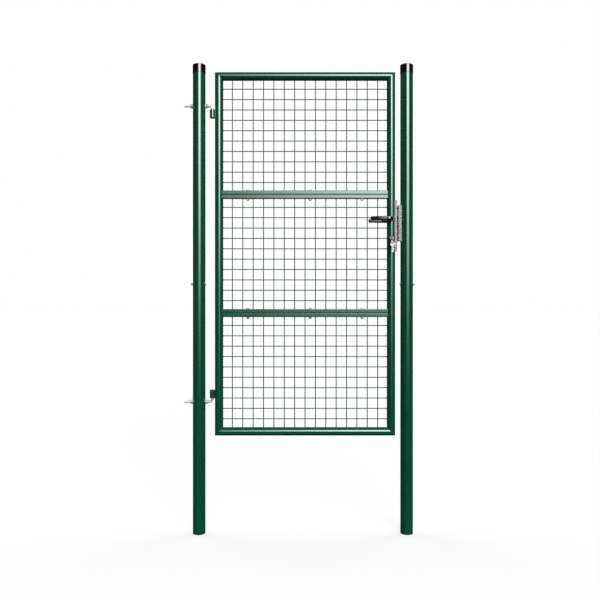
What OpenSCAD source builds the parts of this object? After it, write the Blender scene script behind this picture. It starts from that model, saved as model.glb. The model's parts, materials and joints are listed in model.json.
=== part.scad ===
// Mesh garden gate. A leaf of three bolted tube sections with welded wire
// panels hangs on two-length round posts and has a lever lock with key and strike.
// Millimetres, Z up. Origin: centre of the hinge post foot, latch post along +X,
// the side that faces the viewer along -Y.

/* [Posts] */
// outside diameter of both posts
post_d = 60; // [54:1:70]
// wall of the post tubes
post_wall = 2; // [1.5:0.5:3]
// length of each post, foot to tube end
post_h = 2250; // [2100:10:2500]
// distance between the two post axes
post_pitch = 1000; // [900:10:1200]
// length of the connector inside each post
spigot_len = 300; // [240:10:400]
// height of the cross bolt above the joint of the two lengths
joint_bolt_rise = 75; // [50:5:110]

/* [Caps] */
// wall of the cap skirt
cap_wall = 0.8; // [0.6:0.1:2]
// length of skirt over the tube
cap_skirt = 36; // [20:1:50]
// roof of the cap above the tube end
cap_roof = 5; // [3:0.5:8]

/* [Leaf] */
// outside diameter of the frame tube
tube_d = 40; // [34:1:44]
// wall of the frame tube
tube_wall = 1.5; // [1.2:0.1:2.5]
// height of the leaf over its tubes
leaf_h = 1750; // [1500:10:2000]
// upper edge of the leaf below the post tube end
leaf_drop = 30; // [20:5:80]
// free space between hinge post and leaf
hinge_gap = 46; // [44:1:60]
// free space between leaf and latch post
latch_gap = 25.5; // [24:0.5:40]

/* [Section rails] */
// height of one section tube, two stacked make a rail
rail_h = 19.5; // [16:0.5:25]
// depth of the section tubes
rail_depth = 24; // [20:1:30]
// wall of the section tubes
rail_wall = 1.5; // [1:0.1:2]
// outer corner radius of the section tubes
rail_r = 3.2; // [2:0.1:4]
// diameter of the rail bolts
rail_bolt_d = 8; // [6:1:10]
// spacing of the outer rail bolts from the leaf middle
rail_bolt_x = 275; // [200:25:300]

/* [Wire panels] */
// wire diameter
wire_d = 4; // [3:0.1:5]
// wire spacing both ways
wire_pitch = 50; // [45:1:60]
// least distance of an outer wire from the frame
wire_margin = 30; // [25:1:40]

/* [Hinges] */
// diameter of the bent hinge bolts
rod_d = 12; // [10:1:13]
// centre radius of the bend
bend_r = 17; // [16:1:20]
// outside diameter of the sleeves on the leaf
sleeve_d = 26; // [24:1:27]
// length of the sleeves
sleeve_len = 40; // [30:1:60]
// distance of the sleeve middles from the leaf ends
sleeve_inset = 200; // [150:10:260]
// free end of the hinge bolts beyond the hinge post
rod_tail = 43; // [30:1:60]

/* [Lock] */
// height of the lever spindle above the middle of the leaf
spindle_rise = 166; // [140:1:170]
// distance from spindle to cylinder axis
lock_centres = 92; // [90:1:95]
// length of the lock front plate
forend_len = 245; // [240:1:260]
// width of the lock front plate
forend_w = 22; // [20:1:24]
// distance of the plate face from the lock stile axis
backset = 28.5; // [26:0.5:31]
// throw of latch and dead bolt
bolt_throw = 12; // [8:0.5:12]
// lever length from spindle to tip
lever_len = 101; // [90:1:125]
// distance of the lever grip middle from the leaf plane
lever_reach = 59; // [52:1:70]

/* [Strike] */
// height of the strike
strike_len = 172; // [160:1:190]
// side of the strike in front of the leaf plane
strike_front = 15; // [12:1:20]
// side of the strike behind the leaf plane, with the stop lip
strike_rear = 20; // [18:1:24]
// sheet of the strike
strike_t = 2.5; // [2:0.1:3]

/* [Hidden] */
$fn = 48;
// general
EPS = 0.01;
run_fit = 0.3;
hole_fit = 0.5;
thread_fit = 0.1;
post_r = post_d / 2;
tube_r = tube_d / 2;
joint_z = post_h / 2;
joint_bolt_z = joint_z + joint_bolt_rise;
cap_round = 3;
// leaf lines
leaf_z = post_h - leaf_drop - leaf_h;
leaf_mid_z = leaf_z + leaf_h / 2;
hinge_x = post_r + hinge_gap + tube_r;
lock_x = post_pitch - post_r - latch_gap - tube_r;
leaf_mid_x = (hinge_x + lock_x) / 2;
low_z = leaf_z + tube_r;
high_z = leaf_z + leaf_h - tube_r;
seam_step = (high_z - low_z) / 3;
seam_1 = low_z + seam_step;
seam_2 = high_z - seam_step;
// rails and their bolts
rail_bolt_hole = rail_bolt_d + 1;
rail_head_af = rail_bolt_d * 1.625;
rail_head_h = rail_bolt_d * 0.66;
rail_nut_h = rail_bolt_d * 0.8;
rail_tail = 3;
rail_bolt_shift = wire_pitch / 2;
// wire panels
wire_sides = 8;
wire_set = wire_d * 0.4;
// hinges
sleeve_sink = 1;
pin_x = post_r + hinge_gap - sleeve_d / 2 + sleeve_sink;
sleeve_high = leaf_z + leaf_h - sleeve_inset;
sleeve_low = leaf_z + sleeve_inset;
seat_gap = 0.2;
rod_high = sleeve_high + sleeve_len / 2 + seat_gap + bend_r;
rod_low = sleeve_low - sleeve_len / 2 - seat_gap - bend_r;
rod_nut_af = rod_d * 1.5;
rod_nut_h = rod_d * 0.83;
rod_washer_d = rod_d * 2;
rod_washer_t = 2.5;
// post bolts
post_bolt_d = 8;
post_bolt_head_d = 16;
post_bolt_head_h = 3.5;
post_nut_af = 13;
post_nut_h = 6.5;
post_washer_d = 16;
post_washer_t = 1.6;
post_bolt_tail = 2.5;
// lock
spindle_z = leaf_mid_z + spindle_rise;
cyl_z = spindle_z - lock_centres;
face_x = lock_x + backset;
forend_t = 2.5;
forend_top = spindle_z + 92;
forend_low = forend_top - forend_len;
case_x = lock_x - tube_r + tube_wall + 4;
case_t = 16;
case_wall = 1.5;
case_top = spindle_z + 62;
case_low = cyl_z - 34;
neck_d = 18;
spindle_w = 8;
spindle_hole = 13;
tongue_t = 10;
tongue_h = 30;
latch_z = spindle_z + 24;
dead_z = cyl_z + 32;
tongue_tail = 20;
slide_fit = 0.5;
// cylinder and keys
cyl_d = 17;
cyl_web = 10;
cyl_h = 33;
cyl_len = 60;
plug_d = 11.6;
plug_bore = 12;
plug_deep = 25;
plug_proud = 0.5;
key_t = 2;
key_blade_h = 8;
key_slot_fit = 0.2;
bow_d = 24;
bow_hole = 8;
bow_y = cyl_len / 2 + plug_proud + bow_d / 2 + 1;
bow_hole_y = bow_y + bow_d / 4;
ring_r = 11;
ring_wire = 1.8;
ring_turn = 45;
ring_seat = 0.3;
ring_drop = bow_hole / 2 - ring_wire / 2 - ring_seat + ring_r;
spare_bow = 18;
spare_hole = 7;
spare_hole_up = 4.5;
spare_blade = 30;
spare_swing = [-8, 30];
spare_seat = 0.25;
// lever grip
grip_t = 13;
grip_h = 19;
grip_edge = 6;
grip_lean = 6;
grip_out = 1;
// strike
strike_gap = 5.5;
strike_x = face_x + strike_gap;
strike_low = cyl_z - 12;
strike_open_w = 20;
strike_open_h = 40;
stop_reach = 15;

// round bar along X from x0 to x1
module bar_x(x0, x1, d) {
  translate([x0, 0, 0]) rotate([0, 90, 0]) cylinder(d = d, h = x1 - x0);
}

// shape drawn in X and Z, carried along Y from y0 to y1
module along_y(y0, y1) {
  translate([0, y1, 0]) rotate([90, 0, 0]) linear_extrude(height = y1 - y0) children();
}

// rectangle with round corners about the origin
module round_rect(w, h, r) {
  square([w - 2 * r, h], center = true);
  square([w, h - 2 * r], center = true);
  for (sx = [-1, 1], sy = [-1, 1]) {
    translate([sx * (w / 2 - r), sy * (h / 2 - r)]) circle(r = r);
  }
}

// hexagon prism along Z
module hex(af, h) {
  cylinder(d = af / cos(30), h = h, $fn = 6);
}

// one length of post tube
module post_tube(x, z0, z1) {
  translate([x, 0, z0]) difference() {
    cylinder(d = post_d, h = z1 - z0);
    translate([0, 0, -1]) cylinder(d = post_d - 2 * post_wall, h = z1 - z0 + 2);
  }
}

module post_upper(x) {
  difference() {
    post_tube(x, joint_z, post_h);
    translate([x, 0, joint_bolt_z]) bar_x(-post_d, post_d, post_bolt_d + 1);
  }
}

module post_spigot(x) {
  od = post_d - 2 * post_wall - 2 * run_fit;
  translate([x, 0, joint_z - spigot_len / 2]) difference() {
    cylinder(d = od, h = spigot_len);
    translate([0, 0, -1]) cylinder(d = od - 2 * post_wall, h = spigot_len + 2);
    translate([0, 0, spigot_len / 2 + joint_bolt_rise]) bar_x(-post_d, post_d, post_bolt_d + 1);
  }
}

module post_cap(x) {
  bore = post_r + 0.2;
  r = bore + cap_wall;
  edge = min(cap_roof, cap_round) - EPS;
  full = cap_skirt + cap_roof;
  translate([x, 0, post_h - cap_skirt]) rotate_extrude() difference() {
    union() {
      square([r - edge, full]);
      square([r, full - edge]);
      translate([r - edge, full - edge]) circle(r = edge);
    }
    translate([-1, -1]) square([bore + 1, cap_skirt + 1]);
  }
}

// cross bolt, low round head towards the leaf, nut on the outer side (-X)
module post_bolt() {
  bar_x(-post_r - post_washer_t - post_nut_h - post_bolt_tail, post_r + EPS, post_bolt_d);
  bar_x(post_r, post_r + post_bolt_head_h, post_bolt_head_d);
  bar_x(-post_r - post_washer_t, -post_r, post_washer_d);
  translate([-post_r - post_washer_t - post_nut_h, 0, 0]) rotate([0, 90, 0])
    hex(post_nut_af, post_nut_h + EPS);
}

// hinge bolt: threaded leg along X, bend, pin hanging down through the sleeve
module hinge_bolt() {
  bar_x(-post_r - rod_tail, pin_x - bend_r, rod_d);
  translate([pin_x - bend_r, 0, -bend_r]) rotate([90, 0, 0])
    rotate_extrude(angle = 90) translate([bend_r, 0]) circle(d = rod_d);
  translate([pin_x, 0, -bend_r - seat_gap - sleeve_len + 1])
    cylinder(d = rod_d, h = sleeve_len + seat_gap - 1);
}

// nut and washer against the post on the +X side
module rod_nut() {
  difference() {
    union() {
      bar_x(post_r, post_r + rod_washer_t, rod_washer_d);
      translate([post_r + rod_washer_t - EPS, 0, 0]) rotate([0, 90, 0]) hex(rod_nut_af, rod_nut_h);
    }
    bar_x(post_r - 1, post_r + rod_washer_t + rod_nut_h + 1, rod_d + 2 * thread_fit);
  }
}

module rod_nuts() {
  rod_nut();
  mirror([1, 0, 0]) rod_nut();
}

// frame tube standing along Z
module stile_tube(x, z0, z1) {
  translate([x, 0, z0]) difference() {
    cylinder(d = tube_d, h = z1 - z0);
    translate([0, 0, -1]) cylinder(d = tube_d - 2 * tube_wall, h = z1 - z0 + 2);
  }
}

// top length of a stile with its mitre; side is the way to the leaf middle
module stile_top(x, side) {
  intersection() {
    stile_tube(x, seam_2, high_z + tube_d);
    along_y(-tube_d, tube_d) polygon([
      [x - tube_d, seam_2], [x + tube_d, seam_2],
      [x + tube_d, high_z - side * tube_d], [x - tube_d, high_z + side * tube_d]
    ]);
  }
}

// bottom length of a stile with its mitre
module stile_bottom(x, side) {
  intersection() {
    stile_tube(x, low_z - tube_d, seam_1);
    along_y(-tube_d, tube_d) polygon([
      [x - tube_d, seam_1], [x + tube_d, seam_1],
      [x + tube_d, low_z + side * tube_d], [x - tube_d, low_z - side * tube_d]
    ]);
  }
}

// mitred rail; up is 1 for the top rail and -1 for the bottom rail
module end_rail(z, up) {
  intersection() {
    translate([0, 0, z]) difference() {
      bar_x(hinge_x - tube_d, lock_x + tube_d, tube_d);
      bar_x(hinge_x - tube_d - 1, lock_x + tube_d + 1, tube_d - 2 * tube_wall);
    }
    along_y(-tube_d, tube_d) polygon([
      [hinge_x - tube_d, z + up * tube_d], [lock_x + tube_d, z + up * tube_d],
      [lock_x - tube_d, z - up * tube_d], [hinge_x + tube_d, z - up * tube_d]
    ]);
  }
}

// positions of the bolts in a section rail
function rail_bolts_at() = [
  leaf_mid_x - rail_bolt_x, leaf_mid_x + rail_bolt_shift, leaf_mid_x + rail_bolt_x
];

// section tube with its lower face at z, ends shaped to the round stiles
module section_tube(z) {
  difference() {
    translate([hinge_x, 0, z + rail_h / 2]) rotate([90, 0, 90])
      linear_extrude(height = lock_x - hinge_x) difference() {
        round_rect(rail_depth, rail_h, rail_r);
        round_rect(rail_depth - 2 * rail_wall, rail_h - 2 * rail_wall, rail_r - rail_wall);
      }
    for (x = [hinge_x, lock_x]) {
      translate([x, 0, z - 1]) cylinder(d = tube_d, h = rail_h + 2);
    }
    for (x = rail_bolts_at()) {
      translate([x, 0, z - 1]) cylinder(d = rail_bolt_hole, h = rail_h + 2);
    }
  }
}

// the bolts and nuts that hold two section tubes together at height z
module rail_bolts(z) {
  for (x = rail_bolts_at()) {
    translate([x, 0, z]) {
      translate([0, 0, rail_h]) hex(rail_head_af, rail_head_h);
      translate([0, 0, -rail_h - rail_nut_h]) hex(rail_head_af, rail_nut_h);
      translate([0, 0, -rail_h - rail_nut_h - rail_tail])
        cylinder(d = rail_bolt_d, h = 2 * rail_h + rail_nut_h + rail_tail + EPS);
    }
  }
}

// wires that fit in a free length, and the place of the first one
function wire_count(free) = floor((free - 2 * wire_margin) / wire_pitch) + 1;
function wire_first(free) = (free - (wire_count(free) - 1) * wire_pitch) / 2;

// welded panel between z0 and z1, uprights in front
module wire_panel(z0, z1) {
  x0 = hinge_x + tube_r;
  free_x = lock_x - tube_r - x0;
  free_z = z1 - z0;
  half = 180 / wire_sides;
  for (i = [0 : wire_count(free_x) - 1]) {
    translate([x0 + wire_first(free_x) + i * wire_pitch, -wire_set, z0]) rotate([0, 0, half])
      cylinder(d = wire_d, h = free_z, $fn = wire_sides);
  }
  for (i = [0 : wire_count(free_z) - 1]) {
    translate([x0, wire_set, z0 + wire_first(free_z) + i * wire_pitch]) rotate([0, 90, 0])
      rotate([0, 0, half]) cylinder(d = wire_d, h = free_x, $fn = wire_sides);
  }
}

// hinge sleeve shaped to the round hinge stile
module sleeve(z) {
  difference() {
    translate([pin_x, 0, z - sleeve_len / 2]) cylinder(d = sleeve_d, h = sleeve_len);
    translate([pin_x, 0, z - sleeve_len]) cylinder(d = rod_d + 2 * run_fit, h = 2 * sleeve_len);
    translate([hinge_x, 0, z - sleeve_len]) cylinder(d = tube_d, h = 2 * sleeve_len);
  }
}

// outline of the lock cylinder, grown by g
module cyl_outline(g) {
  circle(d = cyl_d + 2 * g);
  drop = cyl_h - cyl_d / 2 - cyl_web / 2;
  translate([-cyl_web / 2 - g, -drop]) square([cyl_web + 2 * g, drop]);
  translate([0, -drop]) circle(d = cyl_web + 2 * g);
}

// windows for latch and dead bolt, grown by g, from x0 to x1
module tongue_windows(g, x0, x1) {
  for (z = [latch_z, dead_z]) {
    translate([x0, -tongue_t / 2 - g, z - tongue_h / 2 - g])
      cube([x1 - x0, tongue_t + 2 * g, tongue_h + 2 * g]);
  }
}

// one lever of the pair, the one on the viewer's side: round neck and a grip leaning to the leaf
module lever() {
  difference() {
    union() {
      along_y(-lever_reach, -case_t / 2 - slide_fit) translate([lock_x, spindle_z])
        circle(d = neck_d);
      translate([lock_x + neck_d / 2, -lever_reach - grip_out, spindle_z]) rotate([0, 0, -grip_lean])
        rotate([90, 0, -90]) linear_extrude(height = (lever_len + neck_d / 2) / cos(grip_lean))
          round_rect(grip_t, grip_h, grip_edge);
    }
    spindle_hole(0.1);
  }
}

// square spindle, grown by g
module spindle_hole(g) {
  w = spindle_w + 2 * g;
  half = lever_reach - grip_t + g;
  translate([lock_x - w / 2, -half, spindle_z - w / 2]) cube([w, 2 * half, w]);
}

// slope of the ring at the outer face of a spare key that hangs at angle a
function spare_slope(a) = asin((ring_r * sin(abs(a)) + key_t / 2 / sin(ring_turn)) / ring_r);
// height of the top of that key's hole above the ring middle
function spare_top(a) =
  ring_wire / 2 / cos(spare_slope(a)) - ring_r * cos(spare_slope(a)) + spare_seat;

// spare key with its flat to the viewer, the top of its hole at the origin
module spare_key() {
  rotate([90, 0, 0]) translate([0, 0, -key_t / 2]) linear_extrude(height = key_t) {
    translate([0, -spare_hole / 2]) {
      difference() {
        translate([0, -spare_hole_up]) circle(d = spare_bow);
        circle(d = spare_hole);
      }
      translate([-key_blade_h / 2, -spare_hole_up - spare_bow / 2 - spare_blade])
        square([key_blade_h, spare_blade + 1]);
    }
  }
}

module hinge_post_lower() {
  color("#0a4630") difference() {
    post_tube(0, 0, joint_z);
    translate([0, 0, rod_low]) bar_x(-post_d, post_d, rod_d + 1);
  }
}

module hinge_post_upper() {
  color("#0a4630") difference() {
    post_upper(0);
    translate([0, 0, rod_high]) bar_x(-post_d, post_d, rod_d + 1);
  }
}

module hinge_post_spigot() {
  color("#8f9496") post_spigot(0);
}

module hinge_post_cap() {
  color("#101111") post_cap(0);
}

module hinge_post_bolt() {
  color("#b9bcbd") translate([0, 0, joint_bolt_z]) post_bolt();
}

module latch_post_lower() {
  color("#0a4630") post_tube(post_pitch, 0, joint_z);
}

module latch_post_upper() {
  color("#0a4630") post_upper(post_pitch);
}

module latch_post_spigot() {
  color("#8f9496") post_spigot(post_pitch);
}

module latch_post_cap() {
  color("#101111") post_cap(post_pitch);
}

module latch_post_bolt() {
  color("#b9bcbd") translate([post_pitch, 0, joint_bolt_z]) mirror([1, 0, 0]) post_bolt();
}

module upper_hinge_bolt() {
  color("#b9bcbd") translate([0, 0, rod_high]) hinge_bolt();
}

module lower_hinge_bolt() {
  color("#b9bcbd") translate([0, 0, rod_low]) mirror([0, 0, 1]) hinge_bolt();
}

module upper_hinge_nuts() {
  color("#c4c7c8") translate([0, 0, rod_high]) rod_nuts();
}

module lower_hinge_nuts() {
  color("#c4c7c8") translate([0, 0, rod_low]) rod_nuts();
}

// bent sheet on the latch post: web with two windows, two sides, stop lip behind
module strike() {
  color("#b4b6b8") difference() {
    translate([strike_x, -strike_front, strike_low])
      cube([post_pitch - strike_x, strike_front + strike_rear, strike_len]);
    translate([strike_x + strike_t, strike_t - strike_front, strike_low - 1])
      cube([post_pitch, strike_front + strike_rear - 2 * strike_t, strike_len + 2]);
    translate([post_pitch, 0, strike_low - 1]) cylinder(d = post_d, h = strike_len + 2);
    for (z = [latch_z, dead_z]) {
      translate([strike_x - 1, -strike_open_w / 2, z - strike_open_h / 2])
        cube([strike_t + 2, strike_open_w, strike_open_h]);
    }
  }
  color("#b4b6b8") translate([strike_x - stop_reach, strike_rear - strike_t, strike_low])
    cube([stop_reach + EPS, strike_t, strike_len]);
}

module hinge_stile_top() {
  color("#0a4630") stile_top(hinge_x, 1);
}

module hinge_stile_middle() {
  color("#0a4630") stile_tube(hinge_x, seam_1, seam_2);
}

module hinge_stile_bottom() {
  color("#0a4630") stile_bottom(hinge_x, 1);
}

module lock_stile_top() {
  color("#0a4630") stile_top(lock_x, -1);
}

// lock stile length with the slot for the case and the holes for necks and cylinder
module lock_stile_middle() {
  slot = case_t + 2 * hole_fit;
  color("#0a4630") difference() {
    stile_tube(lock_x, seam_1, seam_2);
    translate([lock_x, -slot / 2, case_low - hole_fit])
      cube([tube_d, slot, case_top - case_low + 2 * hole_fit]);
    along_y(-tube_d, tube_d) translate([lock_x, spindle_z]) circle(d = neck_d + 2);
    along_y(-tube_d, tube_d) translate([lock_x, cyl_z]) cyl_outline(hole_fit);
  }
}

module lock_stile_bottom() {
  color("#0a4630") stile_bottom(lock_x, -1);
}

module top_rail() {
  color("#0a4630") end_rail(high_z, 1);
}

module bottom_rail() {
  color("#0a4630") end_rail(low_z, -1);
}

module top_section_sill() {
  color("#0a4630") section_tube(seam_2);
}

module middle_section_head() {
  color("#0a4630") section_tube(seam_2 - rail_h);
}

module middle_section_sill() {
  color("#0a4630") section_tube(seam_1);
}

module bottom_section_head() {
  color("#0a4630") section_tube(seam_1 - rail_h);
}

module top_mesh() {
  color("#12503a") wire_panel(seam_2 + rail_h, high_z - tube_r);
}

module middle_mesh() {
  color("#12503a") wire_panel(seam_1 + rail_h, seam_2 - rail_h);
}

module bottom_mesh() {
  color("#12503a") wire_panel(low_z + tube_r, seam_1 - rail_h);
}

module upper_hinge_sleeve() {
  color("#0a4630") sleeve(sleeve_high);
}

module lower_hinge_sleeve() {
  color("#0a4630") sleeve(sleeve_low);
}

module upper_rail_bolts() {
  color("#c4c7c8") rail_bolts(seam_2);
}

module lower_rail_bolts() {
  color("#c4c7c8") rail_bolts(seam_1);
}

// folded front plate whose sides rest on the round stile
module lock_forend() {
  color("#b4b6b8") difference() {
    translate([lock_x, -forend_w / 2, forend_low]) cube([backset, forend_w, forend_len]);
    translate([lock_x - 1, -forend_w / 2 + forend_t, forend_low - 1])
      cube([backset - forend_t + 1, forend_w - 2 * forend_t, forend_len + 2]);
    translate([lock_x, 0, forend_low - 1]) cylinder(d = tube_d, h = forend_len + 2);
    tongue_windows(slide_fit, face_x - forend_t - 1, face_x + 1);
  }
}

// sheet box behind the front plate, inside the stile
module lock_case() {
  x1 = face_x - forend_t;
  color("#9a9d9f") difference() {
    translate([case_x, -case_t / 2, case_low]) cube([x1 - case_x, case_t, case_top - case_low]);
    translate([case_x + case_wall, -case_t / 2 + case_wall, case_low + case_wall])
      cube([x1 - case_x - 2 * case_wall, case_t - 2 * case_wall, case_top - case_low - 2 * case_wall]);
    tongue_windows(slide_fit, x1 - case_wall - 1, x1 + 1);
    along_y(-case_t, case_t) translate([lock_x, spindle_z]) circle(d = spindle_hole);
    along_y(-case_t, case_t) translate([lock_x, cyl_z]) cyl_outline(run_fit);
  }
}

module lock_cylinder() {
  color("#c9cbcc") difference() {
    along_y(-cyl_len / 2, cyl_len / 2) translate([lock_x, cyl_z]) cyl_outline(0);
    along_y(-cyl_len / 2 - 1, -cyl_len / 2 + plug_deep + plug_proud)
      translate([lock_x, cyl_z]) circle(d = plug_bore);
  }
}

module front_lever() {
  color("#151616") lever();
}

module rear_lever() {
  color("#151616") mirror([0, 1, 0]) lever();
}

module spindle() {
  color("#8f9496") spindle_hole(0);
}

// latch with its bevel on the far side
module latch_bolt() {
  tip = face_x + bolt_throw;
  tail = face_x - tongue_tail;
  color("#c9cbcc") translate([0, 0, latch_z - tongue_h / 2]) linear_extrude(height = tongue_h)
    polygon([
      [tail, -tongue_t / 2], [tip, -tongue_t / 2],
      [tip - tongue_t + 2, tongue_t / 2], [tail, tongue_t / 2]
    ]);
}

module dead_bolt() {
  color("#c9cbcc") translate([face_x - tongue_tail, -tongue_t / 2, dead_z - tongue_h / 2])
    cube([tongue_tail, tongue_t, tongue_h]);
}

// turning core of the lock cylinder with the key slot
module cylinder_plug() {
  slot_t = key_t + 2 * key_slot_fit;
  slot_h = key_blade_h + 2 * key_slot_fit;
  color("#cfb877") difference() {
    along_y(-cyl_len / 2 - plug_proud, -cyl_len / 2 + plug_deep)
      translate([lock_x, cyl_z]) circle(d = plug_d);
    translate([lock_x - slot_t / 2, -cyl_len / 2 - plug_proud - 1, cyl_z - slot_h / 2])
      cube([slot_t, plug_deep - 2, slot_h]);
  }
}

// key in the lock, its flat upright
module key() {
  color("#d5d8d9") translate([lock_x, 0, cyl_z]) difference() {
    union() {
      translate([-key_t / 2, -bow_y, -key_blade_h / 2])
        cube([key_t, bow_y - cyl_len / 2 + plug_deep - 5, key_blade_h]);
      translate([-key_t / 2, -bow_y, 0]) rotate([0, 90, 0]) cylinder(d = bow_d, h = key_t);
    }
    translate([-key_t, -bow_hole_y, 0]) rotate([0, 90, 0]) cylinder(d = bow_hole, h = 2 * key_t);
  }
}

// ring through the bow, turned aside
module key_ring() {
  color("#d5d8d9") translate([lock_x, -bow_hole_y, cyl_z - ring_drop]) rotate([0, 0, ring_turn])
    rotate([90, 0, 0]) rotate_extrude() translate([ring_r, 0]) circle(d = ring_wire, $fn = 24);
}

// two keys hanging one behind the other on the ring
module spare_keys() {
  color("#d5d8d9") translate([lock_x, -bow_hole_y, cyl_z - ring_drop]) rotate([0, 0, ring_turn])
    for (a = spare_swing) {
      translate([ring_r * sin(a), 0, spare_top(a)]) rotate([0, 0, -ring_turn]) spare_key();
    }
}

hinge_post_lower();
hinge_post_upper();
hinge_post_spigot();
hinge_post_cap();
hinge_post_bolt();
latch_post_lower();
latch_post_upper();
latch_post_spigot();
latch_post_cap();
latch_post_bolt();
upper_hinge_bolt();
lower_hinge_bolt();
upper_hinge_nuts();
lower_hinge_nuts();
strike();
hinge_stile_top();
hinge_stile_middle();
hinge_stile_bottom();
lock_stile_top();
lock_stile_middle();
lock_stile_bottom();
top_rail();
bottom_rail();
top_section_sill();
middle_section_head();
middle_section_sill();
bottom_section_head();
top_mesh();
middle_mesh();
bottom_mesh();
upper_hinge_sleeve();
lower_hinge_sleeve();
upper_rail_bolts();
lower_rail_bolts();
lock_forend();
lock_case();
lock_cylinder();
front_lever();
rear_lever();
spindle();
latch_bolt();
dead_bolt();
cylinder_plug();
key();
key_ring();
spare_keys();
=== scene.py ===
"""Looks of the mesh garden gate: finishes, small hardware, studio light and camera, in metres."""

import json
import math

import bmesh
import bpy
from mathutils import Matrix, Vector


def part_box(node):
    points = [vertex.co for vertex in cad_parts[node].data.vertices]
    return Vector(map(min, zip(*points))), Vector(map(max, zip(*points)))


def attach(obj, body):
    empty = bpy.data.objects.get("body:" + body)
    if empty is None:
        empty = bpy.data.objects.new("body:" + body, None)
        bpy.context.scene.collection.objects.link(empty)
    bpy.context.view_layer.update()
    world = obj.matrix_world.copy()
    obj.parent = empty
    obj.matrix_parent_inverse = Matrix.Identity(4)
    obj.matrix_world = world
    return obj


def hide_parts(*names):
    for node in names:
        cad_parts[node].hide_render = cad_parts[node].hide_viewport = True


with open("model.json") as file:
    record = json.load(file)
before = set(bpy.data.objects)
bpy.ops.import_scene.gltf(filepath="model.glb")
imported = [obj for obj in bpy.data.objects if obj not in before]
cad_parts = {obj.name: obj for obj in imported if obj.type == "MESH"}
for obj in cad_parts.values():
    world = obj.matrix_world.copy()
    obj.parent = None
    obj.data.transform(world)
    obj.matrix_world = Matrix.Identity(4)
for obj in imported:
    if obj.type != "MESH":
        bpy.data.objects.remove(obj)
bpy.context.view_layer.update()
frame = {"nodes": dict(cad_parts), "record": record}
scene = bpy.context.scene
SUBPARTS = {part["node"]: part for part in frame["record"]["subparts"]}
MM = 0.001
X = Vector((1, 0, 0))
Y = Vector((0, 1, 0))
Z = Vector((0, 0, 1))

# Photograph: a level camera in front of the gate, image 600 by 600 pixels
IMAGE_PIXELS = 600
FOCAL_PIXELS = 643
CAMERA_PLACE = (0.486, -3.1, 1.123)
SENSOR_MM = 36

# Studio light as seen from the gate: directions in degrees, levels as radiance
SOFTBOX_AZIMUTH = 15.5
SOFTBOX_HALF_WIDTH = 16.5
SOFTBOX_SOFT_EDGE = 28
SOFTBOX_FOOT = -15
SOFTBOX_FULL = 21
SOFTBOX_SHOULDER = 32
SOFTBOX_TOP = 52
SOFTBOX_LEVEL = 11.2
BACK_AZIMUTHS = (114, 246)
BACK_ELEVATION = 52
BACK_SPREAD = 25
BACK_LEVEL = 6.0
FILL_AZIMUTH = 180
FILL_ELEVATION = 30
FILL_SPREAD = 65
FILL_LEVEL = 1.3
AMBIENT_LEVEL = 0.02
BACKDROP_FULL = 4
BACKDROP_EDGE = 10
FLOOR_SHINE = 0.68
FLOOR_ALBEDO = 0.2
FLOOR_REACH = 60

# Colours, linear
WHITE = (1, 1, 1, 1)
GREEN = (0.0011, 0.073, 0.035, 1)
GREEN_DEEP = (0.0009, 0.065, 0.031, 1)
GREEN_SHEEN = (0.77, 1.0, 0.89, 1)
GALVANISED_DULL = (0.22, 0.226, 0.234, 1)
GALVANISED_BRIGHT = (0.325, 0.33, 0.336, 1)
ZINC_BLUE = (0.80, 0.82, 0.84, 1)
ZINC_STRAW = (0.82, 0.81, 0.75, 1)
DULL_ZINC_BLUE = (0.40, 0.408, 0.416, 1)
DULL_ZINC_STRAW = (0.408, 0.402, 0.378, 1)
NICKEL_DARK = (0.28, 0.278, 0.272, 1)
NICKEL_LIGHT = (0.40, 0.396, 0.387, 1)
BOLT_NICKEL_DARK = (0.10, 0.092, 0.10, 1)
BOLT_NICKEL_LIGHT = (0.15, 0.14, 0.148, 1)
BRASS = (0.52, 0.48, 0.39, 1)
BRASS_DARK = (0.45, 0.41, 0.32, 1)
BLACK = (0.0022, 0.0022, 0.0023, 1)
BLACK_PALE = (0.0042, 0.0041, 0.004, 1)

# The middle range of a noise, where most of its values lie
NOISE_LOW = 0.3
NOISE_HIGH = 0.7

# Rounding of the solids' edges: angles in degrees
MERGE_DISTANCE = 0.001 * MM
FLAT_ANGLE = 0.6
SHARP_ANGLE = 34
POST_EDGE = 0.7 * MM
TUBE_EDGE = 0.5 * MM
FOREND_EDGE = 0.5 * MM
LOCK_BOLT_EDGE = 0.6 * MM
CYLINDER_EDGE = 0.5 * MM
PLUG_EDGE = 0.3 * MM

# Nuts and washers, with bores as radii; a nut's chamfer starts at a share of half its width across flats
HEX_CHAMFER_START = 0.93
HEX_CHAMFER_ANGLE = 30
WASHER_EDGE = 0.3 * MM

# Threads: depth as a share of the pitch, and rows of points in each turn
THREAD_DEPTH = 0.6
THREAD_ROWS = 4

# Wire panels
WIRE_RADIUS = 2.3 * MM
WIRE_SET = 1.8 * MM
WIRE_PITCH = 50 * MM
WIRE_MARGIN = 30 * MM
WIRE_SINK = 0.4 * WIRE_RADIUS
FILLET_OUT = 0.9 * WIRE_RADIUS
FILLET_ALONG = 2.3 * WIRE_RADIUS
FILLET_STEPS = 3
NUGGET_HALF = (3.2 * MM, 1.5 * MM, 3.2 * MM)

# Levers
LEVER_BEND = 19 * MM
LEVER_BEND_STEPS = 12
LEVER_BLEND = 1.5 * LEVER_BEND
LEVER_NECK = 9 * MM
LEVER_NECK_PLACES = (20 * MM, 32 * MM)
LEVER_GRIP = 6.5 * MM
LEVER_INSET = 0.5 * MM
LEVER_STEPS = 32
LEVER_LEAN = 5.5 * MM
LEVER_CURVE = 7.5 * MM
LEVER_TIP = 3 * MM
LEVER_TIP_LOSS = 0.4
LEVER_SQUARENESS = 2.4

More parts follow.
